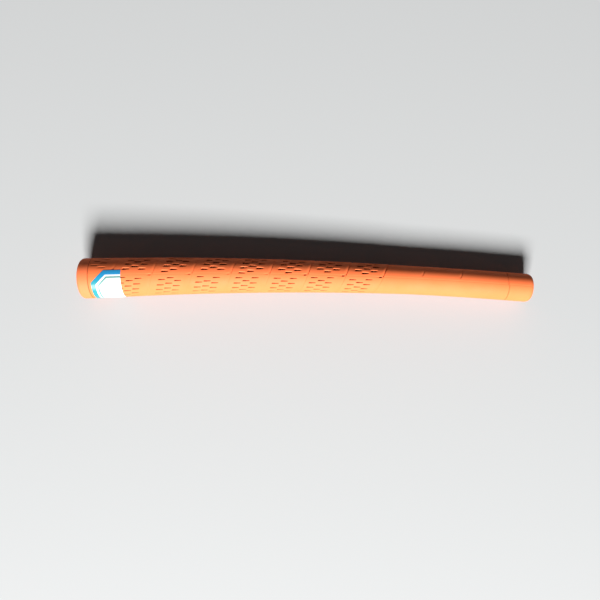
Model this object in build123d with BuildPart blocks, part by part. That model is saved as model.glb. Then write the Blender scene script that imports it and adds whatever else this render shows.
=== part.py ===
"""Slip-on golf grip: a tapered rubber sleeve moulded in two halves, a bonded butt cap and a label.

The origin is the centre of the mouth, where the club shaft goes in. +X runs along the bore and out of the
mouth, so the grip lies towards -X. It lies on its side with +Z up, and the slight bend of a loose grip is in
the XY plane. A station is a distance along the centreline from the butt end, a radius is measured from that
line, and a section angle runs round it from +Y towards +Z. All lengths are millimetres, all angles degrees.
"""

from build123d import *
import math
import os

# Centreline: straight at the butt, a long gentle arc, straight at the mouth
GRIP_LENGTH = 270.0
BUTT_STRAIGHT = 29.3
MOUTH_STRAIGHT = 16.7
BEND_ANGLE = 6.0
ARC_END = GRIP_LENGTH - MOUTH_STRAIGHT
BEND_RADIUS = (ARC_END - BUTT_STRAIGHT) / math.radians(BEND_ANGLE)
SECTIONS_PER_LOFT = 6

# Outside of the sleeve: a cone down to the waist, then nearly parallel to the mouth
BUTT_R = 12.0
WAIST_R = 8.55
MOUTH_R = 8.45
WAIST_STATION = 197.3
LIP_LENGTH = 2.8
LIP_DROP = 1.6
RING_FROM_MOUTH = 15.1
RING_HALF_WIDTH = 0.3
RING_DEPTH = 0.3

# Bore for the shaft, wide at the butt and parallel at the mouth
BORE_R_BUTT = 7.5
BORE_R_MOUTH = 5.9

# Mould parting line, as a section angle. The other one is half a turn round.
PARTING_ANGLE = 85.0

# Butt cap
CAP_RIM_LENGTH = 8.7
CAP_DOME_R = 30.0
CAP_EDGE_R = 2.0
CAP_WALL = 4.0
COLLAR_LENGTH = 8.0
COLLAR_R = 9.6
COLLAR_BORE_R = 7.7
VENT_R = 1.25
JOINT_BEVEL = 0.25

# Label: it wraps part of the way round, and the two corners of its edge towards the cap are cut off
LABEL_START = 10.4
LABEL_END = 27.6
LABEL_TOP_ANGLE = 71.0
LABEL_LOW_ANGLE = 209.0
LABEL_CORNER_LENGTH = 7.3
LABEL_CORNER_TURN = 34.8
FILM_THICKNESS = 0.10
INK_THICKNESS = 0.05
BORDER_WIDTH = 2.6
KEYLINE_INSET = 3.75
KEYLINE_WIDTH = 0.8
WINDOW_OVERRUN = 1.0
CUTTER_REACH = 40.0


def heading(station):
    """The angle of the centreline from +X at a station."""
    if station >= ARC_END:
        return 0.0
    return min(BEND_ANGLE, math.degrees((ARC_END - station) / BEND_RADIUS))


def centre(station):
    """The centreline's point at a station."""
    if station >= ARC_END:
        return Vector(station - GRIP_LENGTH, 0, 0)
    angle = math.radians(heading(station))
    arc_x = -MOUTH_STRAIGHT - BEND_RADIUS * math.sin(angle)
    arc_y = -BEND_RADIUS * (1 - math.cos(angle))
    past_arc = max(BUTT_STRAIGHT - station, 0.0)
    return Vector(arc_x, arc_y, 0) - Vector(math.cos(angle), math.sin(angle), 0) * past_arc


def section_plane(station):
    """The plane square to the centreline, with its x towards +Y and its y up."""
    angle = math.radians(heading(station))
    towards_mouth = (math.cos(angle), math.sin(angle), 0)
    across = (-math.sin(angle), math.cos(angle), 0)
    return Plane(origin=centre(station), x_dir=across, z_dir=towards_mouth)


def meridian_plane(station, angle):
    """The plane through the centreline at a section angle: x towards the mouth and y outwards."""
    square = section_plane(station)
    turn = math.radians(angle)
    outwards = square.x_dir * math.cos(turn) + square.y_dir * math.sin(turn)
    return Plane(origin=square.origin, x_dir=square.z_dir, z_dir=square.z_dir.cross(outwards))


def centreline_axis(station):
    square = section_plane(station)
    return Axis(square.origin, square.z_dir)


def outer_r(station):
    """The sleeve's outside radius."""
    if station < WAIST_STATION:
        share = (station - CAP_RIM_LENGTH) / (WAIST_STATION - CAP_RIM_LENGTH)
        return BUTT_R + (WAIST_R - BUTT_R) * share
    share = (station - WAIST_STATION) / (GRIP_LENGTH - WAIST_STATION)
    return WAIST_R + (MOUTH_R - WAIST_R) * share


def bore_r(station):
    """The radius of the shaft's bore."""
    start = CAP_RIM_LENGTH + COLLAR_LENGTH
    share = min((station - start) / (ARC_END - start), 1.0)
    return BORE_R_BUTT + (BORE_R_MOUTH - BORE_R_BUTT) * share


def half_ring(station, start_angle):
    """Half of the sleeve's section at a station."""
    from_angle = math.radians(start_angle)
    side = Vector(math.cos(from_angle), math.sin(from_angle))
    outside = outer_r(station)
    inside = bore_r(station)
    with BuildSketch(section_plane(station)) as ring:
        with BuildLine():
            CenterArc((0, 0), outside, start_angle, 180)
            Line(side * -outside, side * -inside)
            CenterArc((0, 0), inside, start_angle, 180)
            Line(side * inside, side * outside)
        make_face()
    return ring.sketch


def bent_sections(first, last, start_angle):
    """Half rings along a length of the arc, ready to loft."""
    step = (last - first) / (SECTIONS_PER_LOFT - 1)
    return [half_ring(first + step * count, start_angle) for count in range(SECTIONS_PER_LOFT)]


def butt_profile(start_angle):
    """The wall of the straight length that holds the cap's collar."""
    collar_end = CAP_RIM_LENGTH + COLLAR_LENGTH
    with BuildSketch(meridian_plane(0, start_angle)) as profile:
        with BuildLine():
            Polyline(
                (CAP_RIM_LENGTH, COLLAR_R),
                (CAP_RIM_LENGTH, outer_r(CAP_RIM_LENGTH) - JOINT_BEVEL),
                (CAP_RIM_LENGTH + JOINT_BEVEL, outer_r(CAP_RIM_LENGTH + JOINT_BEVEL)),
                (BUTT_STRAIGHT, outer_r(BUTT_STRAIGHT)),
                (BUTT_STRAIGHT, bore_r(BUTT_STRAIGHT)),
                (collar_end, bore_r(collar_end)),
                (collar_end, COLLAR_R),
                close=True,
            )
        make_face()
    return profile.sketch


def mouth_profile(start_angle):
    """The wall of the straight length at the mouth, with its ring groove and rounded lip."""
    ring = -RING_FROM_MOUTH
    ring_r = outer_r(GRIP_LENGTH + ring)
    lip = -LIP_LENGTH
    lip_r = outer_r(GRIP_LENGTH + lip)
    with BuildSketch(meridian_plane(GRIP_LENGTH, start_angle)) as profile:
        with BuildLine():
            Polyline(
                (-MOUTH_STRAIGHT, outer_r(ARC_END)),
                (ring - RING_HALF_WIDTH, ring_r),
                (ring, ring_r - RING_DEPTH),
                (ring + RING_HALF_WIDTH, ring_r),
                (lip, lip_r),
            )
            EllipticalCenterArc((lip, lip_r - LIP_DROP), LIP_LENGTH, LIP_DROP, arc_size=90)
            Polyline(
                (0, lip_r - LIP_DROP),
                (0, BORE_R_MOUTH),
                (-MOUTH_STRAIGHT, BORE_R_MOUTH),
                (-MOUTH_STRAIGHT, outer_r(ARC_END)),
            )
        make_face()
    return profile.sketch


def corner_cutter(from_station, from_angle, to_station, to_angle, inset):
    """A block that trims a label layer's corner along a slanting line, moved in by the inset."""
    middle = (from_angle + to_angle) / 2
    half_across = outer_r(LABEL_START) * math.sin(math.radians(to_angle - middle))
    start = Vector(from_station, half_across)
    end = Vector(to_station, -half_across)
    along = (end - start).normalized()
    outwards = Vector(along.Y, -along.X)
    near = start - outwards * inset - along * CUTTER_REACH
    far = end - outwards * inset + along * CUTTER_REACH
    facing = meridian_plane(0, middle)
    sideways = outwards * CUTTER_REACH
    with BuildPart() as cutter:
        with BuildSketch(Plane(origin=facing.origin, x_dir=facing.x_dir, z_dir=facing.y_dir)):
            with BuildLine():
                Polyline(near, far, far + sideways, near + sideways, close=True)
            make_face()
        extrude(amount=CUTTER_REACH)
    return cutter.part


def label_layer(lift, thickness, inset, overrun=0.0):
    """One layer of the label: a strip of the cone, its edges moved in except the one away from the cap."""
    turn_in = math.degrees(inset / outer_r(LABEL_END))
    start_angle = LABEL_TOP_ANGLE + turn_in
    start = LABEL_START + inset
    end = LABEL_END + overrun
    corner_station = LABEL_START + LABEL_CORNER_LENGTH
    upper_corner = LABEL_TOP_ANGLE + LABEL_CORNER_TURN
    lower_corner = LABEL_LOW_ANGLE - LABEL_CORNER_TURN
    with BuildPart() as layer:
        with BuildSketch(meridian_plane(0, start_angle)):
            with BuildLine():
                Polyline(
                    (start, outer_r(start) + lift),
                    (start, outer_r(start) + lift + thickness),
                    (end, outer_r(end) + lift + thickness),
                    (end, outer_r(end) + lift),
                    close=True,
                )
            make_face()
        revolve(axis=centreline_axis(0), revolution_arc=LABEL_LOW_ANGLE - turn_in - start_angle)
        upper = corner_cutter(corner_station, LABEL_TOP_ANGLE, LABEL_START, upper_corner, inset)
        add(upper, mode=Mode.SUBTRACT)
        lower = corner_cutter(LABEL_START, lower_corner, corner_station, LABEL_LOW_ANGLE, inset)
        add(lower, mode=Mode.SUBTRACT)
    return layer.part


# Butt cap: domed end, bevelled where it meets the sleeve, with a hollow collar and a vent hole
dome_edge = CAP_DOME_R - math.sqrt(CAP_DOME_R**2 - BUTT_R**2)
dome_middle = CAP_DOME_R - math.sqrt(CAP_DOME_R**2 - (BUTT_R / 2) ** 2)
with BuildPart() as butt_cap:
    with BuildSketch(meridian_plane(0, PARTING_ANGLE)) as cap_profile:
        with BuildLine():
            ThreePointArc((0, 0), (dome_middle, BUTT_R / 2), (dome_edge, BUTT_R))
            Polyline(
                (dome_edge, BUTT_R),
                (CAP_RIM_LENGTH - JOINT_BEVEL, BUTT_R),
                (CAP_RIM_LENGTH, BUTT_R - JOINT_BEVEL),
                (CAP_RIM_LENGTH, 0),
                (0, 0),
            )
        make_face()
        rim_corner = cap_profile.vertices().sort_by_distance((dome_edge, BUTT_R, 0))[0]
        fillet(rim_corner, radius=CAP_EDGE_R)
    revolve(axis=centreline_axis(0))
    with BuildSketch(section_plane(CAP_RIM_LENGTH)):
        Circle(COLLAR_R)
    extrude(amount=COLLAR_LENGTH)
    with BuildSketch(section_plane(CAP_WALL)):
        Circle(COLLAR_BORE_R)
    extrude(amount=CAP_RIM_LENGTH + COLLAR_LENGTH - CAP_WALL, mode=Mode.SUBTRACT)
    with BuildSketch(section_plane(0)):
        Circle(VENT_R)
    extrude(amount=CAP_WALL, mode=Mode.SUBTRACT)
butt_cap.part.label = "butt_cap"

# Sleeve halves: the rear one is on the +Y side of the parting surface, the front one on the -Y side
half_starts = {"sleeve_rear_half": PARTING_ANGLE - 180, "sleeve_front_half": PARTING_ANGLE}
sleeve_halves = []
for name, start_angle in half_starts.items():
    with BuildPart() as half:
        revolve(butt_profile(start_angle), axis=centreline_axis(0), revolution_arc=180)
        loft(bent_sections(BUTT_STRAIGHT, WAIST_STATION, start_angle))
        loft(bent_sections(WAIST_STATION, ARC_END, start_angle))
        revolve(mouth_profile(start_angle), axis=centreline_axis(GRIP_LENGTH), revolution_arc=180)
    half.part.label = name
    sleeve_halves.append(half)

# Label: the white film, and on it the blue frame and the thin line printed inside the frame
with BuildPart() as label_film:
    add(label_layer(0, FILM_THICKNESS, 0))
label_film.part.label = "label_film"

with BuildPart() as label_border:
    add(label_layer(FILM_THICKNESS, INK_THICKNESS, 0))
    add(label_layer(FILM_THICKNESS, INK_THICKNESS, BORDER_WIDTH, WINDOW_OVERRUN), mode=Mode.SUBTRACT)
label_border.part.label = "label_border"

with BuildPart() as label_keyline:
    add(label_layer(FILM_THICKNESS, INK_THICKNESS, KEYLINE_INSET))
    inner_inset = KEYLINE_INSET + KEYLINE_WIDTH
    add(label_layer(FILM_THICKNESS, INK_THICKNESS, inner_inset, WINDOW_OVERRUN), mode=Mode.SUBTRACT)
label_keyline.part.label = "label_keyline"

os.makedirs("parts", exist_ok=True)
for piece in (butt_cap, *sleeve_halves, label_film, label_border, label_keyline):
    export_step(piece.part, f"parts/{piece.part.label}.step")
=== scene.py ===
import math

import bmesh
import bpy
import numpy as np
from mathutils import Matrix, Vector


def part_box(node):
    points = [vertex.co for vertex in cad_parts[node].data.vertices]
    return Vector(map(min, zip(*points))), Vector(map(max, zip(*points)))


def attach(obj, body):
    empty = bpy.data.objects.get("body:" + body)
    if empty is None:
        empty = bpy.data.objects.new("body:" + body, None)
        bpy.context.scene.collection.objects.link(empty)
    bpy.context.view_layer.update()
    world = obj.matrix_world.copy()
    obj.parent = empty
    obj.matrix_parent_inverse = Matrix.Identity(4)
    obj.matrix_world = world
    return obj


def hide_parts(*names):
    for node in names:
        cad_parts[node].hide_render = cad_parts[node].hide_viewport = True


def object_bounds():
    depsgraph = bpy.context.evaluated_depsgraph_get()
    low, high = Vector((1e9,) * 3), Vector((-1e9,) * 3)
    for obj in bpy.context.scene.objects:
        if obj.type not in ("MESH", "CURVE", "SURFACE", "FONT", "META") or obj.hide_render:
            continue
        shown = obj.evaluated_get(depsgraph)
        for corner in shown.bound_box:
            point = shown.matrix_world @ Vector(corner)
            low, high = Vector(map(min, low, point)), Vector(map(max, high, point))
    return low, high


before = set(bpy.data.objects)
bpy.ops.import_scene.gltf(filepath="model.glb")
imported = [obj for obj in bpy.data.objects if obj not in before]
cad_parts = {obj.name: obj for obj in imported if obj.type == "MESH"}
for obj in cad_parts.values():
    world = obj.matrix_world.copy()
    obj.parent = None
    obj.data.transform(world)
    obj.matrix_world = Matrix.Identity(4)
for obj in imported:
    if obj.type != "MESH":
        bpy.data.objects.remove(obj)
cad_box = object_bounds()

# The grip's shape is in millimetres and degrees, and make_piece turns it into metres. A station is a distance
# along the centreline from the butt end, and a section angle runs round it from +Y towards +Z, as in the CAD.
# The materials, floor, camera and light are in metres.
MM = 0.001
GRIP_LENGTH = 270.0
BUTT_STRAIGHT = 29.3
MOUTH_STRAIGHT = 16.7
BEND_ANGLE = math.radians(6.0)
ARC_END = GRIP_LENGTH - MOUTH_STRAIGHT
BEND_RADIUS = (ARC_END - BUTT_STRAIGHT) / BEND_ANGLE

BUTT_R = 12.0
WAIST_R = 8.55
MOUTH_R = 8.45
WAIST_STATION = 197.3
LIP_LENGTH = 2.8
LIP_DROP = 1.6
BORE_R_BUTT = 7.5
BORE_R_MOUTH = 5.9
BORE_EDGE = 0.25

# The line where the two halves meet: a shallow dip in the skin
PARTING_ANGLE = 85.0
PARTING_DEPTH = 0.045
PARTING_HALF_WIDTH = 0.35

# The butt cap, and the joint between it and the sleeve
CAP_RIM_LENGTH = 8.7
CAP_DOME_R = 30.0
CAP_EDGE_R = 2.0
CAP_WALL = 4.0
COLLAR_END = 16.7
COLLAR_R = 9.6
COLLAR_BORE_R = 7.7
VENT_R = 1.25
JOINT_DEPTH = 0.35
JOINT_HALF_WIDTH = 0.35
# The next two darken the joint with painted shade, on the sleeve and on the cap
JOINT_SHADE = 0.8
CAP_JOINT_SHADE = 0.6

# The wrap groove: one helix, whose turns are listed by their station on the parting line. It fades out beside
# the cap, and it is shallower on the front half: FRONT_SEAM_FADE is where that changes, measured from the
# parting line in shares of the radius. In the smooth zone it shows only on the rear half, where its fades are
# in degrees from the parting line.
LEAD_PER_DEGREE = 0.0624
SEAMS = (22.5, 45.7, 68.7, 91.3, 113.7, 136.0, 158.3, 180.3)
SMOOTH_SEAMS = (202.8, 225.3)
SEAM_DEPTHS = (0.3, 0.3, 0.3, 0.32, 0.38, 0.5, 0.55, 0.55)
SEAM_FADE = (10.3, 14.3)
FRONT_SEAM_SHARE = 0.35
FRONT_SEAM_FADE = (-0.05, 0.12)
SEAM_SLOPE = 1.3
SEAM_WALL = 0.35
SMOOTH_SEAM_DEPTH = 0.3
SMOOTH_SEAM_NARROWING = 1.25
SMOOTH_SEAM_FADE_IN = (6, 20)
SMOOTH_SEAM_FADE_OUT = (30, 100)

# The hook: a short pit beside the parting line, at the end of each turn of the groove
HOOK_DEPTHS = (0.0, 0.25, 0.25, 0.15, 0.15, 0.4, 0.45, 0.45)
HOOK_ANGLE = 86.0
HOOK_BEFORE_SEAM = 1.5
HOOK_HALF_LENGTH = 0.85
HOOK_HALF_WIDTH = 0.5
HOOK_WALL = 0.25

# The moulded slots: three columns between two turns of the groove. FIRST_COLUMNS is how far past its turn the
# first column lies, and SLOT_STARTS is how far round from the parting line each column begins. A slot's end
# towards the butt is wider and deeper, and painted shade darkens it where the cut is past its shade level.
FIRST_COLUMNS = {
    "rear": (6.9, 6.8, 6.4, 6.1, 6.0, 6.1, 6.0),
    "front": (6.4, 6.5, 5.45, 5.4, 5.4, 4.5, 5.0),
}
COLUMNS_PER_TURN = 3
COLUMN_PITCH = 4.72
SLOT_HALF_LENGTH = 1.95
SLOT_HALF_WIDTHS = {"rear": 0.40, "front": 0.23}
SLOT_WALLS = {"rear": 0.38, "front": 0.22}
SLOT_DEPTHS = {"rear": 0.62, "front": 0.45}
SLOT_TAPER = 0.3
LEAST_TAPER = 0.5
SLOT_SPACING = 16.8
SPACING_GROWTH = 0.45
LAST_SLOT_ANGLE = 172
# Painted shade in the slots: past these levels of the cut, a slot is darkened for the shade inside it
PAINTED_SHADE_LEVELS = {"rear": 0.4, "front": 0.1}
PAINTED_SHADE_RISE = 0.5
FULL_SHADE_DEPTH = 0.6
SLOT_STARTS = {
    "rear": (
        (18, 26, 17), (9, 15, 26), (15, 22, 15), (2.4, 9, 19), (17, 6, 15), (23, 13, 22), (22, 12, 21),
    ),
    "front": (
        (7, 17, 11), (16, 11, 20), (9, 23, 12), (13, 23, 13), (14, 24, 14), (10, 20, 9), (14, 24, 12),
    ),
}

# Two columns of shallow slots beside the cap, on the rear half: each one's middle and how far round it begins
SHALLOW_COLUMNS = ((10.1, 31.0), (14.8, 23.5))
SHALLOW_SPACING = 16.4
SHALLOW_LAST = 8
SHALLOW_HALF_WIDTH = 0.35
SHALLOW_WALL = 0.3
SHALLOW_DEPTH = 0.3
SHALLOW_FADE = (9.5, 10.2)

# The ring near the mouth, which the mould leaves a little out of line between the halves
RING_STATION = {"rear": 254.65, "front": 255.15}
RING_DEPTH = 0.35
RING_HALF_WIDTH = 0.32
# How much painted shade darkens the ring's groove
RING_SHADE = 0.6

# The label, as it would lie flat: heights are distances round the sleeve from the label's middle line
LABEL_R = 11.8
LABEL_MIDDLE_ANGLE = 140.0
LABEL_HALF_HEIGHT = 14.2
LABEL_START = 10.4
LABEL_END = 27.6
LABEL_CORNER_LENGTH = 7.3
LABEL_CORNER_HEIGHT = 7.15
FILM_THICKNESS = 0.10
INK_THICKNESS = 0.05
BORDER_WIDTH = 2.6
KEYLINE_INSET = 3.75
KEYLINE_WIDTH = 0.8

# Mesh density, and the angle above which an edge is sharp
LINES_ROUND_A_HALF = 262
LINES_ROUND_THE_CAP = 200
SLEEVE_SHARP_ANGLE = 35
CAP_SHARP_ANGLE = 50
LABEL_SHARP_ANGLE = 40


def centreline(station):
    """The centreline's x and y at each station, and its heading."""
    station = np.asarray(station, float)
    heading = np.clip((ARC_END - station) / BEND_RADIUS, 0, BEND_ANGLE)
    past_arc = np.where(station > ARC_END, station - ARC_END, 0)
    past = past_arc + np.where(station < BUTT_STRAIGHT, station - BUTT_STRAIGHT, 0)
    x = -MOUTH_STRAIGHT - BEND_RADIUS * np.sin(heading) + np.cos(heading) * past
    y = -BEND_RADIUS * (1 - np.cos(heading)) + np.sin(heading) * past
    return x, y, heading


def place(station, angle, radius):
    """Points given by station, section angle and radius, in the part's frame."""
    x, y, heading = centreline(station)
    turn = np.radians(angle)
    across = radius * np.cos(turn)
    return np.stack([x - np.sin(heading) * across, y + np.cos(heading) * across, radius * np.sin(turn)], -1)


def smooth_step(value, start, end):
    """0 before the start and 1 after the end, with a smooth rise between."""
    share = np.clip((value - start) / (end - start), 0, 1)
    return share * share * (3 - 2 * share)


def outer_r(station):
    """The sleeve's outside radius before any relief."""
    cone = BUTT_R + (WAIST_R - BUTT_R) * (station - CAP_RIM_LENGTH) / (WAIST_STATION - CAP_RIM_LENGTH)
    neck = WAIST_R + (MOUTH_R - WAIST_R) * (station - WAIST_STATION) / (GRIP_LENGTH - WAIST_STATION)
    radius = np.where(station < WAIST_STATION, cone, neck)
    into_lip = np.clip((station - GRIP_LENGTH + LIP_LENGTH) / LIP_LENGTH, 0, 1)
    return radius - LIP_DROP * (1 - np.sqrt(1 - into_lip**2))


def slot_columns(half, turn):
    """The middles of a turn's columns of slots, as distances past its groove."""
    return [FIRST_COLUMNS[half][turn] + COLUMN_PITCH * column for column in range(COLUMNS_PER_TURN)]


def pill(along, round_by, half_length, half_width, wall):
    """1 inside a round-ended slot and 0 outside it, with a sloping wall between."""
    edge = np.hypot(np.maximum(np.abs(along) - half_length + half_width, 0), round_by) - half_width
    return np.clip(0.5 - edge / wall, 0, 1)


def groove(along):
    """The wrap groove's section: a long slope down towards the mouth, then a steep wall."""
    return np.clip(np.where(along < 0, 1 + along / SEAM_SLOPE, 1 - along / SEAM_WALL), 0, 1)


def from_nearest(turned, start, spacing, last):
    """The angle from each point to the nearest of a column's slots, which are numbered from 0 to last."""
    nearest = np.clip(np.round((turned - start) / spacing), 0, last)
    return turned - start - nearest * spacing


def groove_depth(half, on_line, station, angle):
    """The depth of the wrap groove's turns."""
    depth = np.zeros_like(station)
    clear_of_cap = smooth_step(station, *SEAM_FADE)
    rear_share = smooth_step(np.cos(np.radians(angle + 90 - PARTING_ANGLE)), *FRONT_SEAM_FADE)
    seam_share = FRONT_SEAM_SHARE + (1 - FRONT_SEAM_SHARE) * rear_share
    for seam, seam_depth in zip(SEAMS, SEAM_DEPTHS):
        depth = np.maximum(depth, seam_depth * seam_share * groove(on_line - seam) * clear_of_cap)
    if half == "rear":
        behind = PARTING_ANGLE - angle
        shown = smooth_step(behind, *SMOOTH_SEAM_FADE_IN) * (1 - smooth_step(behind, *SMOOTH_SEAM_FADE_OUT))
        for seam in SMOOTH_SEAMS:
            section = groove((on_line - seam) * SMOOTH_SEAM_NARROWING)
            depth = np.maximum(depth, SMOOTH_SEAM_DEPTH * shown * section)
    return depth


def hook_cuts(on_line, angle, radius):
    """The depth of the hooks beside the parting line."""
    cuts = np.zeros_like(on_line)
    round_by = np.radians(angle - HOOK_ANGLE) * radius
    for seam, hook_depth in zip(SEAMS, HOOK_DEPTHS):
        along = on_line - seam + HOOK_BEFORE_SEAM
        cut = pill(along, round_by, HOOK_HALF_LENGTH, HOOK_HALF_WIDTH, HOOK_WALL)
        cuts = np.maximum(cuts, hook_depth * cut)
    return cuts


def slot_cuts(half, on_line, turned, radius):
    """The depth of the moulded slots, and the painted shade in them."""
    cuts = np.zeros_like(on_line)
    painted_shade = np.zeros_like(on_line)
    fullest = SLOT_DEPTHS[half] / max(SLOT_DEPTHS.values())
    for turn, starts in enumerate(SLOT_STARTS[half]):
        spacing = SLOT_SPACING + SPACING_GROWTH * turn
        for past_seam, start in zip(slot_columns(half, turn), starts):
            last = np.floor((LAST_SLOT_ANGLE - start) / spacing)
            round_by = np.radians(from_nearest(turned, start, spacing, last)) * radius
            along = on_line - SEAMS[turn] - past_seam
            taper = 1 + SLOT_TAPER * along / SLOT_HALF_LENGTH
            cut = pill(along, round_by * taper, SLOT_HALF_LENGTH, SLOT_HALF_WIDTHS[half], SLOT_WALLS[half])
            cuts = np.maximum(cuts, cut * SLOT_DEPTHS[half] / np.maximum(taper, LEAST_TAPER))
            # Painted shade: the slot is darkened where its cut is past the shade level
            filled = np.clip((cut - PAINTED_SHADE_LEVELS[half]) / PAINTED_SHADE_RISE, 0, 1)
            painted_shade = np.maximum(painted_shade, fullest * filled)
    return cuts, painted_shade


def shallow_cuts(on_line, station, turned, radius):
    """The depth of the shallow slots beside the cap."""
    cuts = np.zeros_like(station)
    for middle, start in SHALLOW_COLUMNS:
        round_by = np.radians(from_nearest(turned, start, SHALLOW_SPACING, SHALLOW_LAST)) * radius
        cut = pill(on_line - middle, round_by, SLOT_HALF_LENGTH, SHALLOW_HALF_WIDTH, SHALLOW_WALL)
        cuts = np.maximum(cuts, SHALLOW_DEPTH * cut * smooth_step(station, *SHALLOW_FADE))
    return cuts


def relief(half, station, angle):
    """How far the moulded surface lies below the plain cone, and how much painted shade darkens its slots and
    joints.
    """
    on_line = station + LEAD_PER_DEGREE * (angle - PARTING_ANGLE)
    radius = outer_r(station)
    turned = PARTING_ANGLE - angle if half == "rear" else angle - PARTING_ANGLE
    depth = groove_depth(half, on_line, station, angle)
    hooks = hook_cuts(on_line, angle, radius)
    slots, slot_shade = slot_cuts(half, on_line, turned, radius)
    shallow = np.zeros_like(station)
    if half == "rear":
        shallow = shallow_cuts(on_line, station, turned, radius)
    ring = RING_DEPTH * np.clip(1 - np.abs(station - RING_STATION[half]) / RING_HALF_WIDTH, 0, 1)
    joint = JOINT_DEPTH * np.clip(1 - (station - CAP_RIM_LENGTH) / JOINT_HALF_WIDTH, 0, 1)
    from_edge = np.radians(90 - np.abs(turned - 90)) * radius
    parting = PARTING_DEPTH * np.clip(1 - from_edge / PARTING_HALF_WIDTH, 0, 1)
    # Painted shade in the hooks, shallow slots, ring and joint, growing with their depth
    shaded_marks = np.maximum.reduce([hooks, shallow, RING_SHADE * ring, JOINT_SHADE * joint])
    painted_shade = np.maximum(slot_shade, shaded_marks / FULL_SHADE_DEPTH)
    return np.maximum.reduce([depth, hooks, slots, shallow, ring, joint, parting]), painted_shade


def sleeve_rows(half):
    """The mesh's lines round the sleeve, from butt to mouth. Each has its station on the parting line and its
    share of the helix's lead, which is 0 for a square line and 1 for one that runs along the groove."""
    near_seam = (-2.35, -2.1, -1.3, -0.9, -0.45, -0.12, 0, 0.12, 0.35, 0.5)
    near_smooth_seam = near_seam[2:]
    near_slot = (-2.12, -1.9, -1.6, 1.6, 1.9, 2.12)
    near_ring = (-0.6, -0.4, -0.32, -0.16, 0, 0.16, 0.32, 0.4, 0.6)
    in_joint = 0.17
    past_groove = 2.3
    longest_gap = 2.2
    square_before_ring = 1.5
    square_after_ring = 257
    slanted = []
    for turn, seam in enumerate(SEAMS):
        slanted += [seam + offset for offset in near_seam]
        if turn < len(SEAMS) - 1:
            slanted.append(seam + past_groove)
            for past_seam in slot_columns(half, turn):
                slanted += [seam + past_seam + offset for offset in near_slot]
    for seam in SMOOTH_SEAMS:
        slanted += [seam + offset for offset in near_smooth_seam]
    slanted = sorted(slanted)

    filled = []
    for station, following in zip(slanted, slanted[1:] + slanted[-1:]):
        filled.append(station)
        added = int((following - station) / longest_gap)
        filled += [station + (following - station) * (count + 1) / (added + 1) for count in range(added)]

    first, last = filled[0], filled[-1]
    start = CAP_RIM_LENGTH + JOINT_HALF_WIDTH
    square = RING_STATION[half] - square_before_ring
    lip_start = GRIP_LENGTH - LIP_LENGTH
    rows = [(CAP_RIM_LENGTH, 0.0), (CAP_RIM_LENGTH + in_joint, 0.0)]
    rows += [(start + (first - start) * share, share) for share in np.linspace(0, 1, 22)[:-1]]
    rows += [(station, 1.0) for station in filled]
    rows += [(last + (square - last) * share, 1 - share) for share in np.linspace(0, 1, 10)[1:]]
    rows += [(RING_STATION[half] + offset, 0.0) for offset in near_ring]
    rows += [(station, 0.0) for station in np.linspace(square_after_ring, lip_start, 5)]
    for turn in np.radians(np.linspace(0, 90, 13)[1:]):
        rows.append((GRIP_LENGTH - LIP_LENGTH * (1 - math.sin(turn)), 0.0))
    return rows


def make_piece(name, points, faces, material, node, sharp_above, recess_shade=None):
    """A closed mesh in metres, with its normals outwards, standing for a CAD node."""
    mesh = bpy.data.meshes.new(name)
    mesh.from_pydata((np.asarray(points) * MM).tolist(), [], faces)
    shell = bmesh.new()
    shell.from_mesh(mesh)
    bmesh.ops.recalc_face_normals(shell, faces=shell.faces)
    shell.to_mesh(mesh)
    shell.free()
    if recess_shade is not None:
        # The recess mask: where painted shade darkens the rubber
        attribute = mesh.attributes.new("recess_shade", "FLOAT", "POINT")
        attribute.data.foreach_set("value", np.asarray(recess_shade, np.float32))
    mesh.shade_smooth()
    mesh.set_sharp_from_angle(angle=math.radians(sharp_above))
    mesh.materials.append(material)
    piece = bpy.data.objects.new(name, mesh)
    bpy.context.scene.collection.objects.link(piece)
    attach(piece, "root")
    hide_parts(node)
    return piece


def grid_faces(rows, columns, wrap_rows=False, wrap_columns=False):
    """Quads of a grid of points stored row by row."""
    faces = []
    for row in range(rows if wrap_rows else rows - 1):
        here = row * columns
        following = (row + 1) % rows * columns
        for column in range(columns if wrap_columns else columns - 1):
            beside = (column + 1) % columns
            faces.append((here + column, here + beside, following + beside, following + column))
    return faces


def end_face(outside, inside, stations):
    """Triangles between the outside and inside of the sleeve's wall, on a parting surface."""
    faces = []
    while len(outside) > 1 or len(inside) > 1:
        take_outside = len(inside) == 1 or (len(outside) > 1 and stations[outside[1]] <= stations[inside[1]])
        if take_outside:
            faces.append((outside[0], outside[1], inside[0]))
            outside = outside[1:]
        else:
            faces.append((outside[0], inside[1], inside[0]))
            inside = inside[1:]
    return faces


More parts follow.
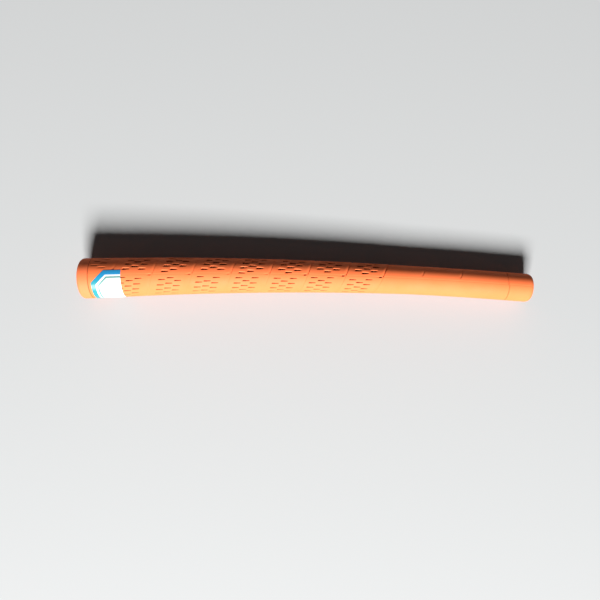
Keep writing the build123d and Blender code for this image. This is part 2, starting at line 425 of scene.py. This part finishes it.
def make_sleeve_half(half, start_angle, material):
    """A half of the sleeve: its moulded outside, bore, seat for the cap's collar, and two parting faces."""
    angles = np.linspace(start_angle, start_angle + 180, LINES_ROUND_A_HALF)
    rows = sleeve_rows(half)
    base = np.array([row[0] for row in rows])[:, None]
    share = np.array([row[1] for row in rows])[:, None]
    stations = base + share * LEAD_PER_DEGREE * (PARTING_ANGLE - angles)[None, :]
    around = np.broadcast_to(angles, stations.shape)
    depth, painted_shade = relief(half, stations, around)
    outside = place(stations, around, outer_r(stations) - depth)

    bore = np.linspace(ARC_END, COLLAR_END, 22)
    bore_r = BORE_R_BUTT + (BORE_R_MOUTH - BORE_R_BUTT) * (bore - COLLAR_END) / (ARC_END - COLLAR_END)
    inner = [(GRIP_LENGTH, BORE_R_MOUTH + BORE_EDGE), (GRIP_LENGTH - BORE_EDGE, BORE_R_MOUTH)]
    inner += [*zip(bore, bore_r), (COLLAR_END, COLLAR_R), (CAP_RIM_LENGTH, COLLAR_R)]
    inner_stations = np.array([station for station, radius in inner])[:, None] * np.ones_like(angles)
    inner_radii = np.array([radius for station, radius in inner])[:, None] * np.ones_like(angles)
    inside = place(inner_stations, np.broadcast_to(angles, inner_stations.shape), inner_radii)

    count, columns = len(rows) + len(inner), len(angles)
    points = np.concatenate([outside, inside]).reshape(-1, 3)
    faces = grid_faces(count, columns, wrap_rows=True)
    every_station = np.concatenate([stations, inner_stations]).reshape(-1)
    for column in (0, columns - 1):
        outer_line = [row * columns + column for row in range(len(rows))]
        inner_line = [row * columns + column for row in range(count - 1, len(rows) - 1, -1)]
        faces += end_face(outer_line, inner_line, every_station)
    # Painted shade on the outside only, none in the bore
    recess_shade = np.concatenate([painted_shade, np.zeros_like(inner_stations)]).reshape(-1)
    return make_piece(
        f"{half}_half_moulded", points, faces, material, f"sleeve_{half}_half",
        SLEEVE_SHARP_ANGLE, recess_shade,
    )


def cap_profile():
    """The cap's outline, by station and radius: vent, domed end, rounded edge, rim, collar and stop face."""
    edge_r = BUTT_R - CAP_EDGE_R
    edge_station = CAP_DOME_R - math.sqrt((CAP_DOME_R - CAP_EDGE_R) ** 2 - edge_r**2)
    tangent = math.degrees(math.atan2(edge_r, CAP_DOME_R - edge_station))
    dome_r = edge_r + CAP_EDGE_R * math.sin(math.radians(tangent))
    profile = [(CAP_WALL, VENT_R), (1.5, VENT_R), (0.3, VENT_R), (0.12, VENT_R + 0.08), (0.04, VENT_R + 0.28)]
    for radius in np.linspace(1.8, dome_r, 16):
        profile.append((CAP_DOME_R - math.sqrt(CAP_DOME_R**2 - radius**2), radius))
    for turn in np.radians(np.linspace(tangent, 90, 12)[1:]):
        profile.append((edge_station - CAP_EDGE_R * math.cos(turn), edge_r + CAP_EDGE_R * math.sin(turn)))
    profile += [(station, BUTT_R) for station in (5.0, 6.5, 8.0, CAP_RIM_LENGTH - JOINT_HALF_WIDTH)]
    profile += [(CAP_RIM_LENGTH, BUTT_R - JOINT_DEPTH), (CAP_RIM_LENGTH, COLLAR_R)]
    profile += [(COLLAR_END - 0.3, COLLAR_R), (COLLAR_END, COLLAR_R - 0.3)]
    profile += [(COLLAR_END, COLLAR_BORE_R + 0.2), (COLLAR_END - 0.2, COLLAR_BORE_R), (10.0, COLLAR_BORE_R)]
    profile += [(CAP_WALL + 0.4, COLLAR_BORE_R), (CAP_WALL, COLLAR_BORE_R - 0.4), (CAP_WALL, 4.5)]
    return profile


def make_cap(material):
    """The butt cap, turned round its own axis, with painted shade from its joint with the sleeve inwards."""
    profile = cap_profile()
    shape = (len(profile), LINES_ROUND_THE_CAP)
    stations = np.array([station for station, radius in profile])[:, None] * np.ones(shape)
    radii = np.array([radius for station, radius in profile])[:, None] * np.ones(shape)
    angles = np.linspace(0, 360, LINES_ROUND_THE_CAP, endpoint=False)[None, :] * np.ones(shape)
    points = place(stations, angles, radii)
    faces = grid_faces(*shape, wrap_rows=True, wrap_columns=True)
    # Painted shade on the cap from its joint face inwards
    recess_shade = np.where(stations >= CAP_RIM_LENGTH, CAP_JOINT_SHADE, 0.0)
    return make_piece(
        "butt_cap_moulded", points.reshape(-1, 3), faces, material, "butt_cap",
        CAP_SHARP_ANGLE, recess_shade.reshape(-1),
    )


def label_outline(inset):
    """The label's outline, moved in. It runs from the top right corner round the side by the cap."""
    slant = math.hypot(LABEL_CORNER_LENGTH, LABEL_CORNER_HEIGHT)
    across = LABEL_CORNER_HEIGHT / slant
    along = LABEL_CORNER_LENGTH / slant
    top = LABEL_HALF_HEIGHT - inset
    start = LABEL_START + inset
    slant_distance = across * LABEL_START + along * (LABEL_CORNER_HEIGHT - LABEL_HALF_HEIGHT) + inset
    corner_station = (slant_distance + along * top) / across
    corner_height = (across * start - slant_distance) / along
    upper = [(LABEL_END, -top), (corner_station, -top), (start, -corner_height)]
    return upper + [(station, -height) for station, height in reversed(upper)]


def walk_lines(first, second, step):
    """Points in pairs along two lines with the same number of corners, at most about a step apart."""
    first, second = np.array(first), np.array(second)
    parts = []
    for index in range(len(first) - 1):
        first_length = np.linalg.norm(first[index + 1] - first[index])
        second_length = np.linalg.norm(second[index + 1] - second[index])
        share = np.linspace(0, 1, max(2, int(max(first_length, second_length) / step)))[:, None]
        side_a = first[index] * (1 - share) + first[index + 1] * share
        side_b = second[index] * (1 - share) + second[index + 1] * share
        sides = np.stack([side_a, side_b], axis=1)
        parts.append(sides if index == 0 else sides[1:])
    walk = np.concatenate(parts)
    return walk[:, 0], walk[:, 1]


def make_label_layer(name, first, second, lift, thickness, material, node, across=6, step=0.4):
    """A thin slab wrapped on the sleeve between two lines, given by station and by height."""
    line_a, line_b = walk_lines(first, second, step)
    between = np.linspace(0, 1, across)[None, :, None]
    flat = line_a[:, None, :] * (1 - between) + line_b[:, None, :] * between
    rows, columns = flat.shape[:2]
    stations = flat[..., 0]
    angles = LABEL_MIDDLE_ANGLE + np.degrees(flat[..., 1] / LABEL_R)
    top = place(stations, angles, outer_r(stations) + lift + thickness)
    under = place(stations, angles, outer_r(stations) + lift)
    points = np.concatenate([top.reshape(-1, 3), under.reshape(-1, 3)])
    size = rows * columns
    faces = grid_faces(rows, columns)
    faces += [tuple(corner + size for corner in reversed(face)) for face in faces]
    rim = list(range(columns))
    rim += [row * columns + columns - 1 for row in range(1, rows)]
    rim += [(rows - 1) * columns + column for column in range(columns - 2, -1, -1)]
    rim += [row * columns for row in range(rows - 2, 0, -1)]
    faces += [(a, a + size, b + size, b) for a, b in zip(rim, rim[1:] + rim[:1])]
    return make_piece(name, points, faces, material, node, LABEL_SHARP_ANGLE)


class Shader:
    """A procedural material: its Principled shader and short ways to add nodes and links."""

    def __init__(self, name, **sockets):
        self.material = bpy.data.materials.new(name)
        self.material.use_nodes = True
        self.tree = self.material.node_tree
        self.surface = self.tree.nodes["Principled BSDF"]
        for socket, value in sockets.items():
            self.surface.inputs[socket.replace("_", " ")].default_value = value
        self.place = self.add("ShaderNodeTexCoord").outputs["Object"]

    def add(self, kind, inputs=None, **settings):
        node = self.tree.nodes.new(kind)
        for key, value in settings.items():
            setattr(node, key, value)
        for key, value in (inputs or {}).items():
            if isinstance(value, bpy.types.NodeSocket):
                self.tree.links.new(value, node.inputs[key])
            else:
                node.inputs[key].default_value = value
        return node

    def noise(self, scale, detail=3.0, roughness=0.5):
        inputs = {"Vector": self.place, "Scale": scale, "Detail": detail, "Roughness": roughness}
        return self.add("ShaderNodeTexNoise", inputs).outputs["Fac"]

    def ramp(self, value, low, high, to_low=0.0, to_high=1.0):
        inputs = {"Value": value, "From Min": low, "From Max": high, "To Min": to_low, "To Max": to_high}
        return self.add("ShaderNodeMapRange", inputs).outputs["Result"]

    def mix(self, factor, first, second):
        node = self.add("ShaderNodeMix", data_type="RGBA")
        for socket, value in ((node.inputs[0], factor), (node.inputs[6], first), (node.inputs[7], second)):
            if isinstance(value, bpy.types.NodeSocket):
                self.tree.links.new(value, socket)
            else:
                socket.default_value = value
        return node.outputs[2]

    def bump(self, height, distance, strength=1.0, normal=None):
        inputs = {"Height": height, "Distance": distance, "Strength": strength}
        if normal is not None:
            inputs["Normal"] = normal
        return self.add("ShaderNodeBump", inputs).outputs["Normal"]

    def join(self, output, socket):
        self.tree.links.new(output, self.surface.inputs[socket])


def rubber(name, base, worn, painted_shade, grain):
    """Matte moulded rubber: blotchy colour, a dusty bloom, painted shade in the recesses and a fine grain."""
    shader = Shader(name, Specular_IOR_Level=0.16)
    blotches = shader.ramp(shader.noise(55.0, 4.0, 0.6), 0.35, 0.68)
    colour = shader.mix(blotches, base, worn)
    specks = shader.ramp(shader.noise(1500.0, 2.0, 0.55), 0.62, 0.75, 0.0, 0.35)
    colour = shader.mix(specks, colour, (worn[0], worn[1] * 1.25, worn[2] * 1.5, 1))
    # Painted shade: the recess mask mixes in a dark colour
    recess_shade = shader.add("ShaderNodeAttribute", attribute_name="recess_shade").outputs["Fac"]
    colour = shader.mix(shader.ramp(recess_shade, 0.1, 0.85, 0.0, 0.9), colour, painted_shade)
    shader.join(colour, "Base Color")
    shader.join(shader.ramp(shader.noise(130.0, 3.0), 0.3, 0.7, 0.6, 0.76), "Roughness")
    undulation = shader.bump(shader.noise(160.0, 2.0), 0.00012, 0.5)
    coarse = shader.bump(shader.noise(1300.0, 3.0, 0.6), 0.00005, grain, undulation)
    shader.join(shader.bump(shader.noise(4200.0, 2.0), 0.000025, grain, coarse), "Normal")
    return shader.material


def vinyl(name, colour, second=None, turn_low=0.0, turn_high=1.0):
    """Glossy film with faint blotches, whose colour may run into a second one over a range of Y."""
    shader = Shader(name, Coat_Weight=0.5, Coat_Roughness=0.12, Specular_IOR_Level=0.5)
    shade = colour
    if second is not None:
        split = shader.add("ShaderNodeSeparateXYZ", {"Vector": shader.place})
        shade = shader.mix(shader.ramp(split.outputs["Y"], turn_low, turn_high), colour, second)
    darker = tuple(channel * 0.86 for channel in colour[:3]) + (1,)
    blotches = shader.ramp(shader.noise(420.0, 3.0, 0.6), 0.45, 0.8, 0.0, 0.35)
    shader.join(shader.mix(blotches, shade, shader.mix(0.5, shade, darker)), "Base Color")
    shader.join(shader.ramp(shader.noise(260.0, 3.0), 0.3, 0.7, 0.26, 0.42), "Roughness")
    shader.join(shader.bump(shader.noise(230.0, 2.0), 0.00006, 0.5), "Normal")
    return shader.material


# Rubber: the sleeve's two halves and the cap, which is a shade paler and smoother
SLEEVE_ORANGE = (0.85, 0.170, 0.051, 1)
SLEEVE_WORN = (0.87, 0.184, 0.059, 1)
CAP_ORANGE = (0.86, 0.178, 0.062, 1)
CAP_WORN = (0.88, 0.194, 0.072, 1)
# The dark colour of painted shade in the slots, hooks, ring and joints
RECESS_SHADE_COLOUR = (0.08, 0.034, 0.011, 1)
sleeve_rubber = rubber("sleeve_rubber", SLEEVE_ORANGE, SLEEVE_WORN, RECESS_SHADE_COLOUR, grain=0.35)
cap_rubber = rubber("cap_rubber", CAP_ORANGE, CAP_WORN, RECESS_SHADE_COLOUR, grain=0.22)
make_sleeve_half("rear", PARTING_ANGLE - 180, sleeve_rubber)
make_sleeve_half("front", PARTING_ANGLE, sleeve_rubber)
make_cap(cap_rubber)

# Label: the white film from its left side to its straight right edge, then the two inks on it. The frame has
# one ink, with painted light on it: blue near the label's top and blue-green further down, towards the key
# light.
SHADE_SIDE_BLUE_TO_TOP = 0.003
LIT_SIDE_TINT_TO_TOP = 0.0095
label_low, label_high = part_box("label_border")
lit_side_tint_end = label_high.y - LIT_SIDE_TINT_TO_TOP
shade_side_blue_end = label_high.y - SHADE_SIDE_BLUE_TO_TOP
white_film = vinyl("white_film", (0.62, 0.65, 0.645, 1))
# Painted light: one ink, blue-green towards the key light and blue near the top
border_print = vinyl("border_print", (0.006, 0.22, 0.25, 1), (0.018, 0.225, 0.46, 1), lit_side_tint_end, shade_side_blue_end)
keyline_print = vinyl(
    "keyline_print", (0.07, 0.24, 0.21, 1), (0.06, 0.22, 0.20, 1), label_low.y, label_high.y
)
outline = label_outline(0)
left_side = outline[1:-1]
right_edge = [(LABEL_END, height) for station, height in left_side]
make_label_layer(
    "label_film_vinyl", left_side, right_edge, 0, FILM_THICKNESS, white_film,
    "label_film", across=30,
)
make_label_layer(
    "label_border_print", outline, label_outline(BORDER_WIDTH), FILM_THICKNESS, INK_THICKNESS, border_print,
    "label_border",
)
keyline_outside = label_outline(KEYLINE_INSET)
keyline_inside = label_outline(KEYLINE_INSET + KEYLINE_WIDTH)
make_label_layer(
    "label_keyline_print", keyline_outside, keyline_inside, FILM_THICKNESS, INK_THICKNESS, keyline_print,
    "label_keyline", across=3,
)

# Floor: the grip rests on its cap's rim and its mouth end, so the floor is a little tilted in this frame
RIM_REST_STATION = 9.0
MOUTH_REST_STATION = 266.0
FLOOR_GAP = 0.00003
FLOOR_HALF_SIZE = 4.0
rim_x = float(centreline(RIM_REST_STATION)[0])
mouth_x = float(centreline(MOUTH_REST_STATION)[0])
tilt = math.atan2(BUTT_R - MOUTH_R, mouth_x - rim_x)
floor_up = Vector((-math.sin(tilt), 0, math.cos(tilt)))
resting = Vector((rim_x, 0, -BUTT_R)) * MM - floor_up * FLOOR_GAP
floor_mesh = bpy.data.meshes.new("floor")
corners = [(-1, -1, 0), (1, -1, 0), (1, 1, 0), (-1, 1, 0)]
floor_mesh.from_pydata([Vector(corner) * FLOOR_HALF_SIZE for corner in corners], [], [(0, 1, 2, 3)])
floor = bpy.data.objects.new("floor", floor_mesh)
bpy.context.scene.collection.objects.link(floor)
floor.matrix_world = Matrix.Translation(resting) @ floor_up.to_track_quat("Z", "Y").to_matrix().to_4x4()
floor_look = Shader("floor_paper", Base_Color=(0.36, 0.365, 0.365, 1), Roughness=0.9, Specular_IOR_Level=0.2)
floor_mesh.materials.append(floor_look.material)

# Camera: straight over the grip, square to the floor and turned a little
AIM_OFFSET = Vector((-0.0025, -0.0087, 0))
CAMERA_HEIGHT = 0.3365
CAMERA_ROLL = math.radians(4.32)
cad_low, cad_high = cad_box
aim = (cad_low + cad_high) / 2 + AIM_OFFSET
aim.z = 0
camera_data = bpy.data.cameras.new("camera")
camera_data.lens = 33.6
camera_data.sensor_width = 36.0
camera_data.clip_start = 0.01
camera = bpy.data.objects.new("camera", camera_data)
bpy.context.scene.collection.objects.link(camera)
right = Vector((math.cos(CAMERA_ROLL), math.sin(CAMERA_ROLL), 0))
up = floor_up.cross(right).normalized()
right = up.cross(floor_up)
turned = Matrix((right, up, floor_up)).transposed().to_4x4()
camera.matrix_world = Matrix.Translation(aim + floor_up * CAMERA_HEIGHT) @ turned
bpy.context.scene.camera = camera


def add_light(name, azimuth, elevation, distance, size, power):
    """A square soft light that faces the grip. Azimuth 0 is on the -Y side and 90 is on the +X side."""
    data = bpy.data.lights.new(name, "AREA")
    data.shape = "SQUARE"
    data.size = size
    data.energy = power
    light = bpy.data.objects.new(name, data)
    bpy.context.scene.collection.objects.link(light)
    side, rise = math.radians(azimuth), math.radians(elevation)
    towards = Vector((math.sin(side) * math.cos(rise), -math.cos(side) * math.cos(rise), math.sin(rise)))
    facing = towards.to_track_quat("Z", "Y").to_matrix().to_4x4()
    light.matrix_world = Matrix.Translation(aim + towards * distance) @ facing


# Light: one soft key light from the front side, and a faint even light from all round
add_light("key", azimuth=0, elevation=38, distance=3.0, size=1.0, power=300.0)
world = bpy.data.worlds.new("studio")
world.use_nodes = True
world.node_tree.nodes["Background"].inputs["Color"].default_value = (0.94, 0.97, 1.0, 1)
world.node_tree.nodes["Background"].inputs["Strength"].default_value = 0.055
bpy.context.scene.world = world
bpy.context.scene.view_settings.view_transform = "Standard"
